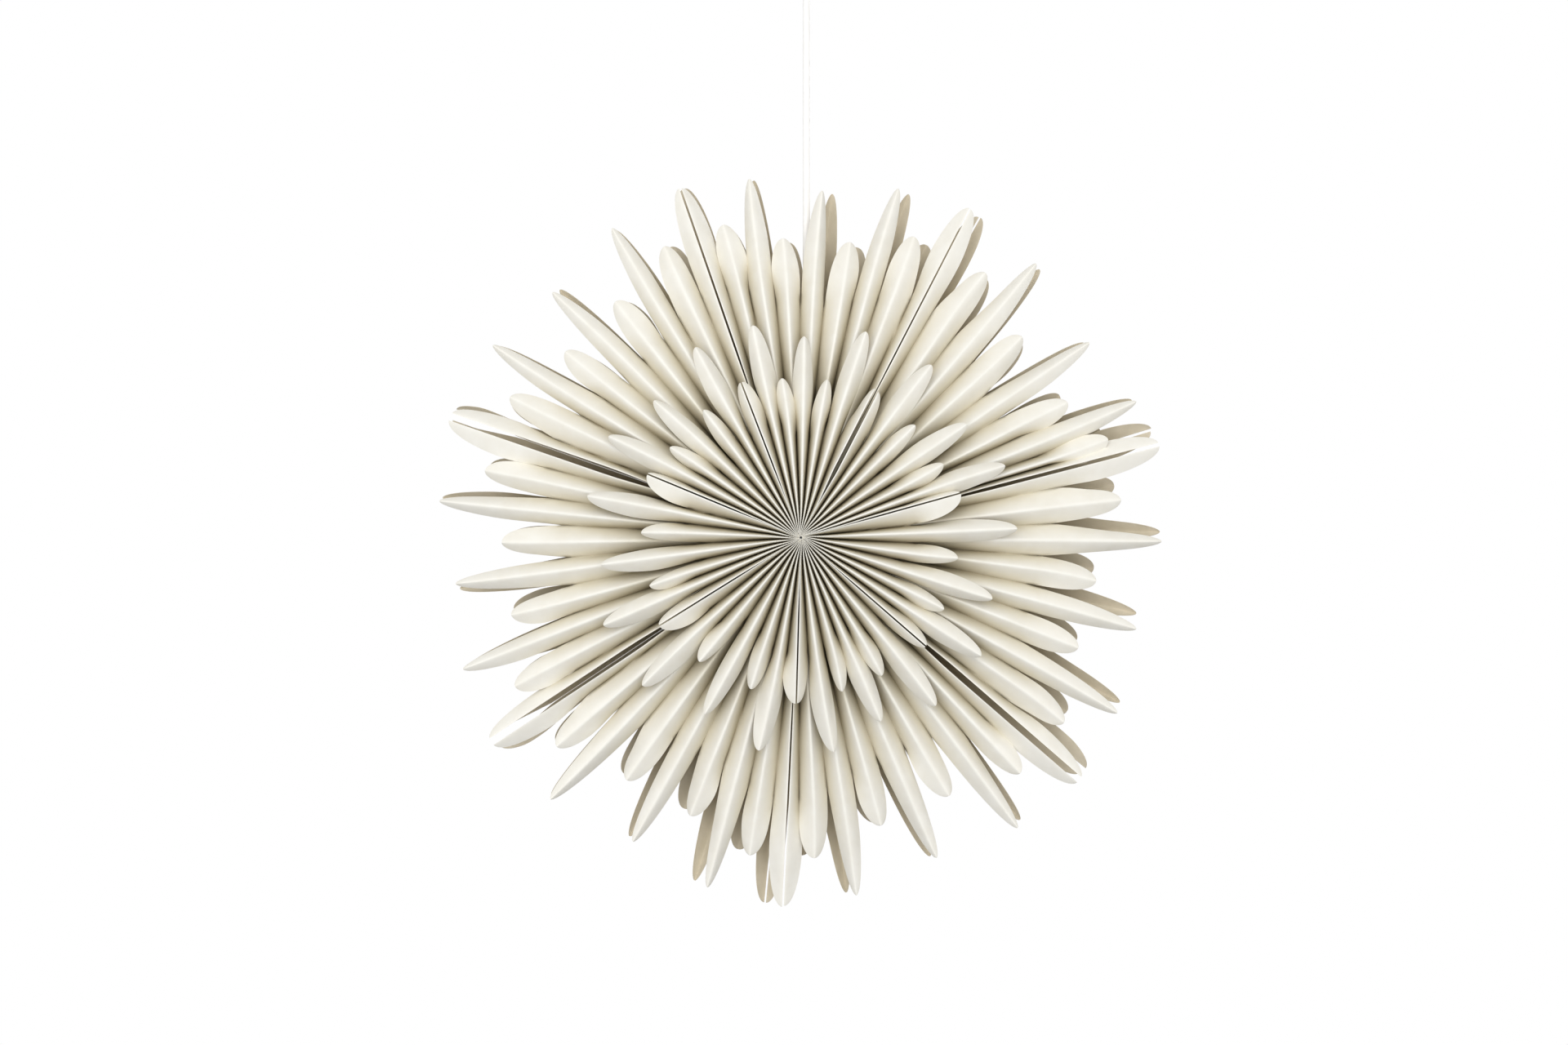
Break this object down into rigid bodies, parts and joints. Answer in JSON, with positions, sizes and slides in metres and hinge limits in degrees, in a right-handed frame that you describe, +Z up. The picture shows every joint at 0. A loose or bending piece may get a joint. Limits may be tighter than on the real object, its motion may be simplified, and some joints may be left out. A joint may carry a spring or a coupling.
{
  "type": "paper star lamp",
  "caption": "Hanging lamp with a pleated paper star shade, petals in layers on front and back, on a cable with a small lampholder and ceiling cup.",
  "frame": {"origin": "where the cable's axis meets the ceiling, on the top face of the ceiling bracket", "axes": "+Z up to the ceiling, the star's front faces -Y, +X to the viewer's right"},
  "size_m": [0.5865, 0.1598, 0.8197],
  "materials": {
    "star_paper": "matt uncoated off-white paper, folded",
    "hub_card": "plain grey-brown card",
    "white_steel": "white powder coat",
    "white_plastic": "moulded, satin",
    "cable_sheath": "smooth soft sheath",
    "bulb_glass": "opal globe",
    "brass": "stamped sheet",
    "zinc_steel": "zinc plated"
  },
  "bodies": {
    "root": {"front_outer_1": "star_paper", "front_outer_2": "star_paper", "front_outer_3": "star_paper", "front_outer_4": "star_paper", "front_outer_5": "star_paper", "front_outer_6": "star_paper", "front_outer_7": "star_paper", "front_inner_1": "star_paper", "front_inner_2": "star_paper", "front_inner_3": "star_paper", "front_inner_4": "star_paper", "front_inner_5": "star_paper", "front_inner_6": "star_paper", "front_inner_7": "star_paper", "back_outer_1": "star_paper", "back_outer_2": "star_paper", "back_outer_3": "star_paper", "back_outer_4": "star_paper", "back_outer_5": "star_paper", "back_outer_6": "star_paper", "back_outer_7": "star_paper", "back_inner_1": "star_paper", "back_inner_2": "star_paper", "back_inner_3": "star_paper", "back_inner_4": "star_paper", "back_inner_5": "star_paper", "back_inner_6": "star_paper", "back_inner_7": "star_paper", "front_hub_cone": "hub_card", "back_hub_cone": "hub_card", "hub_rivets": "zinc_steel", "carrier_strap": "white_steel", "clamp_ring": "white_plastic", "holder_body": "white_plastic", "holder_cap": "white_plastic", "screw_shell": "brass", "contact_spring": "brass", "bulb": "bulb_glass", "holder_grip": "white_plastic", "cable": "cable_sheath", "cup_grip": "white_plastic", "ceiling_cup": "white_plastic", "terminal_block": "white_plastic", "side_screws": "zinc_steel", "ceiling_bracket": "zinc_steel"}
  },
  "joints": []
}
